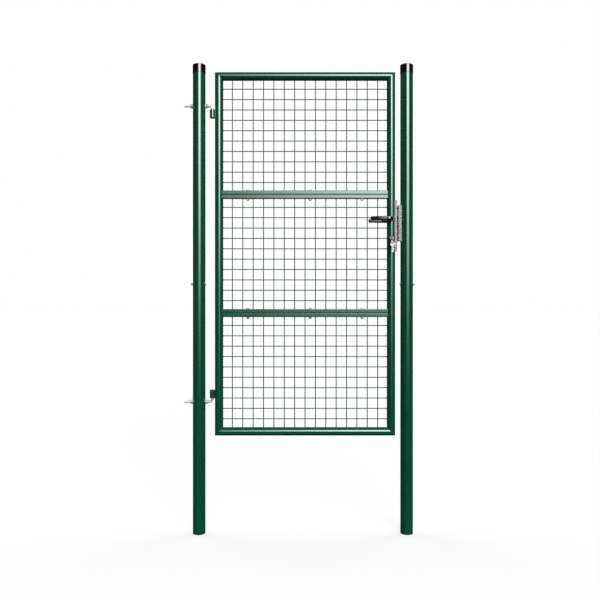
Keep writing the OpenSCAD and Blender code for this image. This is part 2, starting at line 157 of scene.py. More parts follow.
# Hinge bolts and their nuts
ROD_RADIUS = 6 * MM
ROD_BEND = 17 * MM
ROD_BEND_STEPS = 12
ROD_PLAIN = 4 * MM
ROD_OVERLAP = 1 * MM
ROD_CHAMFER = 1 * MM
ROD_PITCH = 1.75 * MM
ROD_NUT_FLATS = 18 * MM
ROD_NUT_BITE = 0.5 * MM
ROD_WASHER_RADIUS = 12 * MM
ROD_WASHER_ROOM = 0.4 * MM
ROD_WASHER_THICK = 2.5 * MM

# Coach bolts through the posts
POST_BOLT_RADIUS = 4 * MM
POST_BOLT_TIP = 3.2 * MM
POST_BOLT_CHAMFER = 1 * MM
POST_WASHER_BORE = 4.2 * MM
POST_WASHER_RADIUS = 8 * MM
POST_WASHER_THICK = 1.6 * MM
POST_NUT_FLATS = 13 * MM
POST_NUT_HEIGHT = 6.5 * MM
POST_NUT_BORE = 3.9 * MM
DOME_RADIUS = 8 * MM
DOME_HEIGHT = 3.5 * MM
DOME_STEPS = 8

# Bolts through the stacked section tubes
RAIL_BOLT_SPREAD = 275 * MM
RAIL_BOLT_SHIFT = 25 * MM
RAIL_BOLT_FLATS = 13 * MM
RAIL_BOLT_RADIUS = 4 * MM
RAIL_BOLT_PITCH = 1.25 * MM
RAIL_BOLT_THREAD = 14 * MM
RAIL_BOLT_SHANK = 30 * MM
RAIL_BOLT_OVERLAP = 1 * MM
RAIL_HEAD_HEIGHT = 5.28 * MM
RAIL_NUT_HEIGHT = 6.4 * MM
RAIL_NUT_BORE = 3.8 * MM
RAIL_TAIL = 3 * MM

# Post caps
CAP_WALL = 0.8 * MM
CAP_ROOF = 5 * MM
CAP_CROWN = 0.8 * MM
CAP_CROWN_STEPS = 4
CAP_RIM = 1.8 * MM
CAP_RIM_STEPS = 6
CAP_BEAD = 0.35 * MM
CAP_BEAD_MIDDLE = 0.8 * MM
CAP_BEAD_TOP = 1.8 * MM

# Hinge sleeves
SLEEVE_CHAMFER = 1 * MM
SLEEVE_ROOM = 0.3 * MM
SLEEVE_WELD_ASIDE = 4.2 * MM
SLEEVE_WELD_OUT = 12.4 * MM
SLEEVE_WELD_RADIUS = 1.5 * MM
SLEEVE_WELD_STEPS = 24

# Keys and their ring: angles in degrees
KEY_THICK = 2 * MM
KEY_WIDTH = 8 * MM
KEY_HOLE_RADIUS = 4 * MM
KEY_HOLE_SHIFT = 6 * MM
KEY_ROOT = 1 * MM
BOW_EDGE = 0.35 * MM
BOW_SIDES = 48
BLADE_EDGE = 0.3 * MM
BLADE_STEPS = 80
BLADE_POINT = 3 * MM
BLADE_POINT_LOSS = 0.6
GROOVE_DEPTH = 0.45 * MM
GROOVE_MIDDLE = -0.4 * MM
GROOVE_MOUTH = 0.9 * MM
GROOVE_FLOOR = 0.6 * MM
TOOTH_DEPTHS = (1.2 * MM, 2.0 * MM, 0.8 * MM, 2.4 * MM, 1.5 * MM)
TOOTH_STEP = 4.2 * MM
TOOTH_FIRST = 7 * MM
TOOTH_FLAT = 0.6 * MM
RING_RADIUS = 11 * MM
RING_WIRE_RADIUS = 0.9 * MM
RING_WIRE_ROOM = 0.02 * MM
RING_WIRE_SQUARENESS = 3.5
RING_TURN = 45
RING_START = 200
RING_STEP = 5
RING_STEPS = 138
RING_CROSS_FIRST = 64
RING_CROSS_STEPS = 12
SPARE_ANGLES = (-8, 30)
SPARE_BOW_RADIUS = 9 * MM
SPARE_HOLE_RADIUS = 3.5 * MM
SPARE_HOLE_SHIFT = 4.5 * MM
SPARE_SEAT = 0.25 * MM
SPARE_BLADE = 30 * MM

# Rear end of the lock cylinder; its face is found by a normal with more Y than END_FACING
KEY_WAY_ROOM = 0.3 * MM
KEY_WAY_DEPTH = 8 * MM
KEY_WAY_SQUARENESS = 8
PLUG_PROUD = 0.4 * MM
PLUG_SIDES = 48
END_FACING = 0.99

# Welds on the frame; a bead swells and shrinks by a share of its radius
BEAD_SIDES = 8
BEAD_RIPPLE = 0.14
BEAD_RIPPLE_TURN = 2.1
MITRE_BEAD = 0.7 * MM
MITRE_STEPS = 90
TUBE_BEAD = 1.3 * MM
TUBE_BEAD_START = 2 * MM
TUBE_CORNER = 3.2 * MM
TUBE_CORNER_STEPS = 6
TUBE_FLAT_STEPS = 8

# Solids whose edges are rounded, by body
POST_PIECES = ("hinge_post_lower", "hinge_post_upper", "latch_post_lower", "latch_post_upper", "strike")
FRAME_TUBES = (
    "hinge_stile_top", "hinge_stile_middle", "hinge_stile_bottom",
    "lock_stile_top", "lock_stile_middle", "lock_stile_bottom", "top_rail", "bottom_rail",
    "top_section_sill", "middle_section_head", "middle_section_sill", "bottom_section_head",
)


def make_camera():
    """Level camera that looks straight at the gate, with the photograph's angle of view."""
    data = bpy.data.cameras.new("photo_camera")
    data.sensor_width = SENSOR_MM
    data.sensor_fit = "HORIZONTAL"
    data.lens = FOCAL_PIXELS / IMAGE_PIXELS * SENSOR_MM
    camera = bpy.data.objects.new("photo_camera", data)
    camera.location = CAMERA_PLACE
    camera.rotation_euler = (math.pi / 2, 0, 0)
    scene.collection.objects.link(camera)
    scene.camera = camera


class Nodes:
    """Short way to add and link shader nodes in one tree."""

    def __init__(self, tree):
        self.tree = tree
        tree.nodes.clear()

    def add(self, kind, **settings):
        node = self.tree.nodes.new(kind)
        for name, value in settings.items():
            setattr(node, name, value)
        return node

    def put(self, socket, value):
        """Link an output to the socket, or set the socket's own value."""
        if hasattr(value, "is_output"):
            self.tree.links.new(value, socket)
        else:
            socket.default_value = value

    def math(self, operation, a, b=0.0, clamp=False):
        node = self.add("ShaderNodeMath", operation=operation, use_clamp=clamp)
        self.put(node.inputs[0], a)
        self.put(node.inputs[1], b)
        return node.outputs[0]

    def times(self, first, *others):
        for other in others:
            first = self.math("MULTIPLY", first, other)
        return first

    def total(self, first, *others):
        for other in others:
            first = self.math("ADD", first, other)
        return first

    def ramp(self, value, low, high, to_low=0.0, to_high=1.0):
        """Smooth step from to_low to to_high while value goes from low to high."""
        node = self.add("ShaderNodeMapRange", interpolation_type="SMOOTHSTEP")
        for index, item in enumerate((value, low, high, to_low, to_high)):
            self.put(node.inputs[index], item)
        return node.outputs[0]

    def spread(self, noise, to_low=0.0, to_high=1.0):
        """Stretch the middle range of a noise to the given values."""
        return self.ramp(noise, NOISE_LOW, NOISE_HIGH, to_low, to_high)

    def mix(self, factor, a, b):
        """Mix two colours; the node's colour sockets are inputs 6 and 7 and output 2."""
        node = self.add("ShaderNodeMix", data_type="RGBA")
        self.put(node.inputs[0], factor)
        self.put(node.inputs[6], a)
        self.put(node.inputs[7], b)
        return node.outputs[2]

    def dot(self, vector, toward):
        node = self.add("ShaderNodeVectorMath", operation="DOT_PRODUCT")
        self.put(node.inputs[0], vector)
        self.put(node.inputs[1], toward)
        return node.outputs["Value"]

    def stretched(self, place, scale):
        node = self.add("ShaderNodeMapping")
        self.put(node.inputs["Vector"], place)
        self.put(node.inputs["Scale"], scale)
        return node.outputs[0]

    def noise(self, place, scale, detail):
        node = self.add("ShaderNodeTexNoise")
        self.put(node.inputs["Vector"], place)
        self.put(node.inputs["Scale"], scale)
        self.put(node.inputs["Detail"], detail)
        return node.outputs["Fac"]

    def cells(self, place, scale):
        """One random value for each cell of a Voronoi pattern."""
        node = self.add("ShaderNodeTexVoronoi")
        self.put(node.inputs["Vector"], place)
        self.put(node.inputs["Scale"], scale)
        split = self.add("ShaderNodeSeparateColor")
        self.put(split.inputs[0], node.outputs["Color"])
        return split.outputs[0]

    def bump(self, height, strength, distance):
        node = self.add("ShaderNodeBump")
        self.put(node.inputs["Height"], height)
        self.put(node.inputs["Strength"], strength)
        self.put(node.inputs["Distance"], distance)
        return node.outputs["Normal"]


def direction(azimuth, elevation):
    """Unit vector; azimuth 0 is towards the viewer and 90 to the right."""
    a = math.radians(azimuth)
    e = math.radians(elevation)
    return (math.sin(a) * math.cos(e), -math.cos(a) * math.cos(e), math.sin(e))


def softbox(n, x, y, z):
    """Tall strip of light in front of the gate with soft edges and a long faint foot."""
    degrees = 180 / math.pi
    height = n.times(n.math("ARCSINE", z), degrees)
    front = n.times(n.math("ARCTAN2", x, n.times(y, -1.0)), degrees)
    aside = n.math("ABSOLUTE", n.math("SUBTRACT", front, SOFTBOX_AZIMUTH))
    soft = SOFTBOX_SOFT_EDGE / 2
    strip = n.ramp(aside, SOFTBOX_HALF_WIDTH - soft, SOFTBOX_HALF_WIDTH + soft, 1, 0)
    rise = n.ramp(height, SOFTBOX_FOOT, SOFTBOX_FULL)
    fall = n.ramp(height, SOFTBOX_SHOULDER, SOFTBOX_TOP, 1, 0)
    return n.times(strip, rise, rise, fall, SOFTBOX_LEVEL)


def round_light(n, place, azimuth, elevation, spread, level):
    """Round patch of light that fades out towards its rim."""
    toward = n.dot(place, direction(azimuth, elevation))
    return n.ramp(toward, math.cos(math.radians(spread)), 1.0, 0, level)


def make_world():
    """White to the camera; to the object a dark studio with a softbox, two back lights and a soft fill.

    Glossy rays that go straight back see the white backdrop too.
    """
    world = bpy.data.worlds.new("studio")
    scene.world = world
    world.use_nodes = True
    n = Nodes(world.node_tree)
    place = n.add("ShaderNodeTexCoord").outputs["Generated"]
    path = n.add("ShaderNodeLightPath").outputs
    axes = n.add("ShaderNodeSeparateXYZ")
    n.put(axes.inputs[0], place)
    x, y, z = axes.outputs

    light = n.total(softbox(n, x, y, z), AMBIENT_LEVEL)
    for azimuth in BACK_AZIMUTHS:
        light = n.total(light, round_light(n, place, azimuth, BACK_ELEVATION, BACK_SPREAD, BACK_LEVEL))
    fill = round_light(n, place, FILL_AZIMUTH, FILL_ELEVATION, FILL_SPREAD, FILL_LEVEL)
    light = n.total(light, n.times(fill, n.math("SUBTRACT", 1.0, path["Is Glossy Ray"])))

    wide = math.cos(math.radians(BACKDROP_EDGE))
    full = math.cos(math.radians(BACKDROP_FULL))
    backdrop = n.times(n.ramp(y, wide, full), path["Is Glossy Ray"])
    seen = n.total(path["Is Camera Ray"], path["Is Transmission Ray"], backdrop)
    seen = n.math("MINIMUM", seen, 1.0)
    level = n.total(n.times(light, n.math("SUBTRACT", 1.0, seen)), seen)
    shade = n.add("ShaderNodeBackground")
    n.put(shade.inputs["Color"], WHITE)
    n.put(shade.inputs["Strength"], level)
    n.put(n.add("ShaderNodeOutputWorld").inputs["Surface"], shade.outputs[0])


def floor_material():
    """Glow plus a little matt grey to the camera, clear to other rays."""
    material = bpy.data.materials.new("floor")
    material.use_nodes = True
    n = Nodes(material.node_tree)
    path = n.add("ShaderNodeLightPath").outputs
    seen = n.math("ADD", path["Is Camera Ray"], path["Is Transmission Ray"], clamp=True)
    shine = n.add("ShaderNodeEmission")
    n.put(shine.inputs["Strength"], FLOOR_SHINE)
    matt = n.add("ShaderNodeBsdfDiffuse")
    n.put(matt.inputs["Color"], (FLOOR_ALBEDO, FLOOR_ALBEDO, FLOOR_ALBEDO, 1))
    both = n.add("ShaderNodeAddShader")
    n.put(both.inputs[0], shine.outputs[0])
    n.put(both.inputs[1], matt.outputs[0])
    clear = n.add("ShaderNodeBsdfTransparent")
    shown = n.add("ShaderNodeMixShader")
    n.put(shown.inputs[0], seen)
    n.put(shown.inputs[1], clear.outputs[0])
    n.put(shown.inputs[2], both.outputs[0])
    n.put(n.add("ShaderNodeOutputMaterial").inputs["Surface"], shown.outputs[0])
    return material


def make_floor():
    """Pale floor that only the camera sees: white where it is lit, a little grey in the gate's shade."""
    mesh = bpy.data.meshes.new("floor")
    reach = FLOOR_REACH
    corners = [(-reach, -reach, 0), (reach, -reach, 0), (reach, reach, 0), (-reach, reach, 0)]
    mesh.from_pydata(corners, [], [(0, 1, 2, 3)])
    mesh.materials.append(floor_material())
    floor = bpy.data.objects.new("floor", mesh)
    scene.collection.objects.link(floor)


def start_material(name):
    """New material with one Principled surface; gives its sockets and the object's coordinates."""
    material = bpy.data.materials.new(name)
    material.use_nodes = True
    n = Nodes(material.node_tree)
    surface = n.add("ShaderNodeBsdfPrincipled")
    n.put(n.add("ShaderNodeOutputMaterial").inputs["Surface"], surface.outputs[0])
    place = n.add("ShaderNodeTexCoord").outputs["Object"]
    return material, n, surface.inputs, place


def green_coat(name, roughness, coat, sheen, specular):
    """Powder coat with slight orange peel, faint cloudiness and a tinted sheen."""
    material, n, sockets, place = start_material(name)
    cloud = n.ramp(n.noise(place, scale=9, detail=3), low=0.35, high=0.7)
    n.put(sockets["Base Color"], n.mix(cloud, GREEN, GREEN_DEEP))
    rough = n.spread(n.noise(place, scale=60, detail=3), roughness, roughness + 0.05)
    n.put(sockets["Roughness"], rough)
    sockets["Specular Tint"].default_value = sheen
    sockets["Specular IOR Level"].default_value = specular
    sockets["Coat Weight"].default_value = coat
    sockets["Coat Roughness"].default_value = 0.06
    peel = n.noise(place, scale=420, detail=2)
    n.put(sockets["Normal"], n.bump(peel, strength=0.05, distance=0.05 * MM))
    return material


def galvanised():
    """Hot dip zinc: patchwork of dull and bright crystals with fine grain."""
    material, n, sockets, place = start_material("galvanised")
    flakes = n.times(n.cells(place, scale=210), 0.6)
    crystal = n.total(flakes, n.times(n.noise(place, scale=300, detail=3), 0.4))
    tone = n.ramp(crystal, low=0.1, high=0.9)
    n.put(sockets["Base Color"], n.mix(tone, GALVANISED_DULL, GALVANISED_BRIGHT))
    n.put(sockets["Roughness"], n.ramp(crystal, low=0.1, high=0.9, to_low=0.62, to_high=0.48))
    sockets["Metallic"].default_value = 0.5
    grain = n.noise(place, scale=900, detail=3)
    n.put(sockets["Normal"], n.bump(grain, strength=0.06, distance=0.05 * MM))
    return material


def zinc_plate(name, blue, straw):
    """Zinc plating with a faint blue and straw tint and fine grain."""
    material, n, sockets, place = start_material(name)
    tint = n.ramp(n.noise(place, scale=70, detail=3), low=0.35, high=0.65)
    n.put(sockets["Base Color"], n.mix(tint, blue, straw))
    n.put(sockets["Roughness"], n.spread(n.noise(place, scale=260, detail=3), 0.26, 0.42))
    sockets["Metallic"].default_value = 0.6
    grain = n.noise(place, scale=1400, detail=2)
    n.put(sockets["Normal"], n.bump(grain, strength=0.05, distance=0.04 * MM))
    return material


def nickel(name, dark, light, roughness, metallic):
    """Satin nickel, brushed upright, with small tone drifts."""
    material, n, sockets, place = start_material(name)
    brush = n.noise(n.stretched(place, (2600, 2600, 60)), scale=1.0, detail=3)
    drift = n.noise(place, scale=120, detail=2)
    n.put(sockets["Base Color"], n.mix(drift, dark, light))
    n.put(sockets["Roughness"], n.spread(brush, roughness, roughness + 0.16))
    sockets["Metallic"].default_value = metallic
    n.put(sockets["Normal"], n.bump(brush, strength=0.06, distance=0.03 * MM))
    return material


def brass():
    """Pale machined brass with fine grain and slightly darker patches."""
    material, n, sockets, place = start_material("brass")
    patch = n.spread(n.noise(place, scale=200, detail=3))
    n.put(sockets["Base Color"], n.mix(patch, BRASS, BRASS_DARK))
    n.put(sockets["Roughness"], n.spread(n.noise(place, scale=600, detail=2), 0.24, 0.4))
    sockets["Metallic"].default_value = 1.0
    grain = n.noise(place, scale=2200, detail=2)
    n.put(sockets["Normal"], n.bump(grain, strength=0.05, distance=0.03 * MM))
    return material


def black_gloss(name, roughness, grain, specular):
    """Black plastic or lacquer with a fine moulded grain."""
    material, n, sockets, place = start_material(name)
    cloud = n.noise(place, scale=40, detail=2)
    n.put(sockets["Base Color"], n.mix(cloud, BLACK, BLACK_PALE))
    n.put(sockets["Roughness"], n.spread(cloud, roughness, roughness + 0.06))
    sockets["Specular IOR Level"].default_value = specular
    sockets["Coat Weight"].default_value = 1.0
    sockets["Coat Roughness"].default_value = 0.08
    bumps = n.noise(place, scale=900, detail=2)
    n.put(sockets["Normal"], n.bump(bumps, strength=grain, distance=0.05 * MM))
    return material


FINISH = {
    "green_paint": green_coat("green_coat", roughness=0.10, coat=1.0, sheen=GREEN_SHEEN, specular=0.74),
    "wire_green": green_coat("wire_green", roughness=0.38, coat=0.0, sheen=WHITE, specular=0.5),
    "galvanised": galvanised(),
    "zinc_plate": zinc_plate("zinc_plate", ZINC_BLUE, ZINC_STRAW),
    "dull_zinc": zinc_plate("dull_zinc", DULL_ZINC_BLUE, DULL_ZINC_STRAW),
    "nickel": nickel("nickel", NICKEL_DARK, NICKEL_LIGHT, roughness=0.28, metallic=0.75),
    "bolt_nickel": nickel("bolt_nickel", BOLT_NICKEL_DARK, BOLT_NICKEL_LIGHT, roughness=0.5, metallic=1.0),
    "brass": brass(),
    "cap_plastic": black_gloss("cap_plastic", roughness=0.12, grain=0.04, specular=0.65),
    "lever_black": black_gloss("lever_black", roughness=0.14, grain=0.05, specular=1.0),
}


def finish_solids():
    """Give every CAD solid the finish of its material slot."""
    for part in SUBPARTS.values():
        slots = frame["nodes"][part["node"]].data.materials
        slots.clear()
        slots.append(FINISH[part["material_slot"]])


def add_piece(name, bm, body, slot, nodes=(), sharp=38, finish=None):
    """Make an object of bm that rides on body, wears the slot's finish or its own and stands for nodes."""
    bmesh.ops.recalc_face_normals(bm, faces=bm.faces)
    mesh = bpy.data.meshes.new(name)
    bm.to_mesh(mesh)
    bm.free()
    mesh.shade_smooth()
    mesh.set_sharp_from_angle(angle=math.radians(sharp))
    mesh.materials.append(FINISH[finish or slot])
    piece = bpy.data.objects.new(name, mesh)
    scene.collection.objects.link(piece)
    flat = piece.modifiers.new("flat_faces", "WEIGHTED_NORMAL")
    flat.keep_sharp = True
    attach(piece, body)
    if nodes:
        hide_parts(*nodes)


def circle(sides):
    """Angles of points spread evenly around a circle."""
    return [2 * math.pi * i / sides for i in range(sides)]


def quarter(steps):
    """Angles from 0 to 90 degrees in equal steps."""
    return [math.radians(90 * step / steps) for step in range(steps + 1)]


def polar(radius, angle, along):
    """Point at a radius and an angle about the Z axis."""
    return Vector((radius * math.cos(angle), radius * math.sin(angle), along))


def turn_to(axis):
    """Rotation that brings the Z axis to axis."""
    return axis.to_track_quat("Z", "Y").to_matrix()


def join_rings(bm, rings, closed=False):
    """Skin a list of vertex rings; a ring of one vertex closes to a point."""
    pairs = list(zip(rings, rings[1:]))
    if closed:
        pairs.append((rings[-1], rings[0]))
    for a, b in pairs:
        count = max(len(a), len(b))
        for i in range(count):
            j = (i + 1) % count
            corners = [a[i % len(a)], a[j % len(a)], b[j % len(b)], b[i % len(b)]]
            bm.faces.new(list(dict.fromkeys(corners)))


def lathe(bm, profile, place, axis, sides=32, closed=False):
    """Turn (radius, distance) pairs about the line through place along axis."""
    turn = turn_to(axis)
    rings = []
    for radius, along in profile:
        angles = circle(sides if radius > 0 else 1)
        rings.append([bm.verts.new(place + turn @ polar(radius, a, along)) for a in angles])
    join_rings(bm, rings, closed)


def sweep(bm, path, side, outlines, closed=False):
    """Carry one outline per path point along path; side starts as the outline's second axis."""
    rings = []
    count = len(path)
    for i, spot in enumerate(path):
        before = path[(i - 1) % count] if closed else path[max(i - 1, 0)]
        after = path[(i + 1) % count] if closed else path[min(i + 1, count - 1)]
        ahead = (after - before).normalized()
        side = (side - ahead * side.dot(ahead)).normalized()
        out = side.cross(ahead)
        rings.append([bm.verts.new(spot + out * u + side * v) for u, v in outlines[i]])
    if closed:
        join_rings(bm, rings, closed=True)
        return
    caps = [[bm.verts.new(path[0])], [bm.verts.new(path[-1])]]
    join_rings(bm, [caps[0]] + rings + [caps[1]])


def oval(half_u, half_v, sides=24, power=2.0):
    """Superellipse outline: power 2 is an ellipse, more is squarer."""
    points = []
    for a in circle(sides):
        c = math.cos(a)
        s = math.sin(a)
        u = math.copysign(abs(c) ** (2 / power), c) * half_u
        v = math.copysign(abs(s) ** (2 / power), s) * half_v
        points.append((u, v))
    return points


def weld_bead(bm, path, side, radius, closed=False):
    """Ripple of weld metal along path."""
    outlines = []
    for i in range(len(path)):
        ripple = 1 + BEAD_RIPPLE * math.sin(BEAD_RIPPLE_TURN * i)
        outlines.append(oval(radius * ripple, radius, BEAD_SIDES))
    sweep(bm, path, side, outlines, closed)


def hex_nut(bm, place, axis, flats, height, bore=0, sides=48):
    """Hexagon nut or bolt head with its corners chamfered at both ends; bore 0 closes it."""
    turn = turn_to(axis)
    face = flats / 2
    inside = bore or face / 2
    start = face * HEX_CHAMFER_START
    slope = math.tan(math.radians(HEX_CHAMFER_ANGLE))
    columns = []
    for a in circle(sides):
        reach = face / math.cos((a % (math.pi / 3)) - math.pi / 6)
        drop = (reach - start) * slope
        profile = (
            (inside, 0), (start, 0), (reach, drop),
            (reach, height - drop), (start, height), (inside, height),
        )
        columns.append([bm.verts.new(place + turn @ polar(radius, a, along)) for radius, along in profile])
    rings = list(zip(*columns))
    if bore:
        join_rings(bm, rings, closed=True)
        return
    ends = [[bm.verts.new(place)], [bm.verts.new(place + turn @ Vector((0, 0, height)))]]
    join_rings(bm, [ends[0]] + rings + [ends[1]])


def thread(bm, start, axis, length, radius, pitch, sides=24):
    """Threaded rod along axis from start, its end chamfered."""
    turn = turn_to(axis)
    depth = THREAD_DEPTH * pitch
    rows = int(length / pitch * THREAD_ROWS)
    rings = [[bm.verts.new(start)]]
    for row in range(rows + 1):
        along = length * row / rows
        tip = max(0.0, depth - along)
        ring = []
        for i, a in enumerate(circle(sides)):
            phase = (along / pitch + i / sides) % 1.0
            groove = depth * (1 - abs(2 * phase - 1))
            ring.append(bm.verts.new(start + turn @ polar(radius - max(groove, tip), a, along)))
        rings.append(ring)
    rings.append([bm.verts.new(start + axis * length)])
    join_rings(bm, rings)


def washer(bm, place, axis, bore, radius, thick):
    """Flat ring with small edge chamfers."""
    c = WASHER_EDGE
    profile = [
        (bore, 0), (radius - c, 0), (radius, c), (radius, thick - c), (radius - c, thick), (bore, thick)
    ]
    lathe(bm, profile, place, axis, sides=40, closed=True)


def softened(node, width):
    """Mesh of a CAD solid with its sharp edges rounded off by width."""
    bm = bmesh.new()
    bm.from_mesh(frame["nodes"][node].data)
    bmesh.ops.remove_doubles(bm, verts=bm.verts, dist=MERGE_DISTANCE)
    bmesh.ops.dissolve_limit(bm, angle_limit=math.radians(FLAT_ANGLE), verts=bm.verts, edges=bm.edges)
    edges = [e for e in bm.edges if e.is_manifold and e.calc_face_angle(0) > math.radians(SHARP_ANGLE)]
    bmesh.ops.bevel(
        bm, geom=edges, offset=width, segments=2, profile=0.5, affect="EDGES", clamp_overlap=True
    )
    return bm


def soften(nodes, body, width, finish=None):
    """Stand-ins for CAD solids with their sharp edges rounded off by width."""
    for node in nodes:
        bm = softened(node, width)
        add_piece(f"{node}_soft", bm, body, SUBPARTS[node]["material_slot"], [node], finish=finish)


def wire(bm, start, end):
    """Straight wire with a paint fillet where it meets the frame at both ends."""
    axis = (end - start).normalized()
    length = (end - start).length
    fillet = []
    for a in quarter(FILLET_STEPS):
        radius = WIRE_RADIUS + FILLET_OUT * (1 - math.sin(a))
        fillet.append((radius, FILLET_ALONG * (1 - math.cos(a)) - WIRE_SINK))
    mirrored = [(radius, length - along) for radius, along in reversed(fillet)]
    profile = [(0, -WIRE_SINK)] + fillet + mirrored + [(0, length + WIRE_SINK)]
    lathe(bm, profile, start, axis, sides=12)


def grid_places(low, high):
    """Places of the wires that fit between low and high."""
    free = high - low
    count = int((free - 2 * WIRE_MARGIN) / WIRE_PITCH) + 1
    first = low + (free - (count - 1) * WIRE_PITCH) / 2
    return [first + i * WIRE_PITCH for i in range(count)]


def make_meshes():
    """Round welded wires with a small nugget at every crossing."""
    nugget = Matrix.Diagonal((*NUGGET_HALF, 1))
    for node in ("top_mesh", "middle_mesh", "bottom_mesh"):
        low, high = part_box(node)
        bm = bmesh.new()
        columns = grid_places(low.x, high.x)
        rows = grid_places(low.z, high.z)
        for x in columns:
            wire(bm, Vector((x, -WIRE_SET, low.z)), Vector((x, -WIRE_SET, high.z)))
        for z in rows:
            wire(bm, Vector((low.x, WIRE_SET, z)), Vector((high.x, WIRE_SET, z)))
        for x in columns:
            for z in rows:
                place = Matrix.Translation((x, 0, z)) @ nugget
                bmesh.ops.create_icosphere(bm, subdivisions=1, radius=1, matrix=place)
        add_piece(f"{node}_wires", bm, "leaf", "green_paint", [node], sharp=60, finish="wire_green")


def lever_path(axis_x, side, low, high):
    """Middle line of a lever: out along the neck, round the bend, then a grip that leans to the leaf."""
    z = (low.z + high.z) / 2
    start = min(abs(low.y), abs(high.y))
    reach = max(abs(low.y), abs(high.y)) - LEVER_GRIP - LEVER_INSET
    path = [Vector((axis_x, side * y, z)) for y in (start, *LEVER_NECK_PLACES)]
    for a in quarter(LEVER_BEND_STEPS):
        x = axis_x - LEVER_BEND * (1 - math.cos(a))
        path.append(Vector((x, side * (reach - LEVER_BEND * (1 - math.sin(a))), z)))
    run = axis_x - LEVER_BEND - low.x
    for step in range(1, LEVER_STEPS + 1):
        t = step / LEVER_STEPS
        lean = LEVER_LEAN * t + LEVER_CURVE * t * t
        path.append(Vector((axis_x - LEVER_BEND - run * t, side * (reach - lean), z)))
    return path


def lever_outlines(path, axis_x, tip_x, tall):
    """Sections of a lever: round at the neck, tall and flat-sided along the grip, smaller at the tip."""
    outlines = []
    for spot in path:
        t = min(1.0, max(0.0, (axis_x - spot.x) / LEVER_BLEND))
        near_tip = max(0.0, 1 - (spot.x - tip_x) / LEVER_TIP)
        shrink = math.sqrt(1 - LEVER_TIP_LOSS * near_tip * near_tip)
        half = (LEVER_NECK + (LEVER_GRIP - LEVER_NECK) * t) * shrink
        height = (LEVER_NECK + (tall - LEVER_NECK) * t) * shrink
        outlines.append(oval(half, height, sides=32, power=2 + LEVER_SQUARENESS * t))
    return outlines


def make_levers():
    """A pair of bow levers on the spindle."""
    spindle_low, spindle_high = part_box("spindle")
    axis_x = (spindle_low.x + spindle_high.x) / 2
    for node, side in (("front_lever", -1), ("rear_lever", 1)):
        low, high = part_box(node)
        path = lever_path(axis_x, side, low, high)
        bm = bmesh.new()
        sweep(bm, path, Z, lever_outlines(path, axis_x, low.x, (high.z - low.z) / 2))
        add_piece(f"{node}_bow", bm, "lever", "lever_black", [node], sharp=50)


def make_hinge_bolt(node, up):
    """Bent hinge bolt with a cut thread; gives the height of its level leg."""
    low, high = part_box(node)
    leg_z = high.z - ROD_RADIUS if up > 0 else low.z + ROD_RADIUS
    pin_z = low.z if up > 0 else high.z
    pin_x = high.x - ROD_RADIUS
    bend = Vector((pin_x - ROD_BEND, 0, leg_z))
    thread_end = bend.x - ROD_PLAIN
    bm = bmesh.new()
    thread(bm, Vector((low.x, 0, leg_z)), X, thread_end - low.x, ROD_RADIUS, ROD_PITCH)
    path = [Vector((thread_end - ROD_OVERLAP, 0, leg_z))]
    for a in quarter(ROD_BEND_STEPS):
        path.append(bend + Vector((math.sin(a), 0, -up * (1 - math.cos(a)))) * ROD_BEND)
    path.append(Vector((pin_x, 0, pin_z + up * ROD_CHAMFER)))
    path.append(Vector((pin_x, 0, pin_z)))
    outlines = [oval(ROD_RADIUS, ROD_RADIUS) for _ in path]
    outlines[-1] = oval(ROD_RADIUS - ROD_CHAMFER, ROD_RADIUS - ROD_CHAMFER)
    sweep(bm, path, Y, outlines)
    add_piece(f"{node}_threaded", bm, "posts", "zinc_plate", [node], sharp=50)
    return leg_z


def make_hinge_nuts(node, leg_z):
    """A washer and a chamfered nut on each side of the hinge post."""
    low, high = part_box(node)
    post_low, post_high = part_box("hinge_post_upper")
    bm = bmesh.new()
    for face, axis, end in ((post_high.x, X, high.x), (post_low.x, -X, -low.x)):
        seat = Vector((face, 0, leg_z))
        washer(bm, seat, axis, ROD_RADIUS + ROD_WASHER_ROOM, ROD_WASHER_RADIUS, ROD_WASHER_THICK)
        height = end - abs(face) - ROD_WASHER_THICK
        place = seat + axis * ROD_WASHER_THICK
        hex_nut(bm, place, axis, ROD_NUT_FLATS, height, ROD_RADIUS - ROD_NUT_BITE)
    add_piece(f"{node}_cut", bm, "posts", "zinc_plate", [node], sharp=30)


def make_hinges():
    """The upper hinge bolt points down and the lower one up."""
    for level, up in (("upper", 1), ("lower", -1)):
        leg_z = make_hinge_bolt(f"{level}_hinge_bolt", up)
        make_hinge_nuts(f"{level}_hinge_nuts", leg_z)


def make_post_bolts():
    """Coach bolts through the post joints: domed head to the leaf, washer and nut outside."""
    for post, out in (("hinge_post", -1), ("latch_post", 1)):
        node = f"{post}_bolt"
        low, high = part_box(node)
        tube_low, tube_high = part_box(f"{post}_upper")
        middle = (low.z + high.z) / 2
        outer = tube_low.x if out < 0 else tube_high.x
        inner = tube_high.x if out < 0 else tube_low.x
        end = low.x if out < 0 else high.x
        length = abs(end - inner)
        axis = X * out
        profile = [(0, -DOME_HEIGHT)]
        for a in quarter(DOME_STEPS)[1:]:
            profile.append((DOME_RADIUS * math.sin(a), -DOME_HEIGHT * math.cos(a)))
        profile += [(POST_BOLT_RADIUS, 0), (POST_BOLT_RADIUS, length - POST_BOLT_CHAMFER)]
        profile += [(POST_BOLT_TIP, length), (0, length)]
        bm = bmesh.new()
        lathe(bm, profile, Vector((inner, 0, middle)), axis)
        seat = Vector((outer, 0, middle))
        washer(bm, seat, axis, POST_WASHER_BORE, POST_WASHER_RADIUS, POST_WASHER_THICK)
        seat += axis * POST_WASHER_THICK
        hex_nut(bm, seat, axis, POST_NUT_FLATS, POST_NUT_HEIGHT, POST_NUT_BORE)
        add_piece(f"{node}_domed", bm, "posts", "zinc_plate", [node], sharp=30)


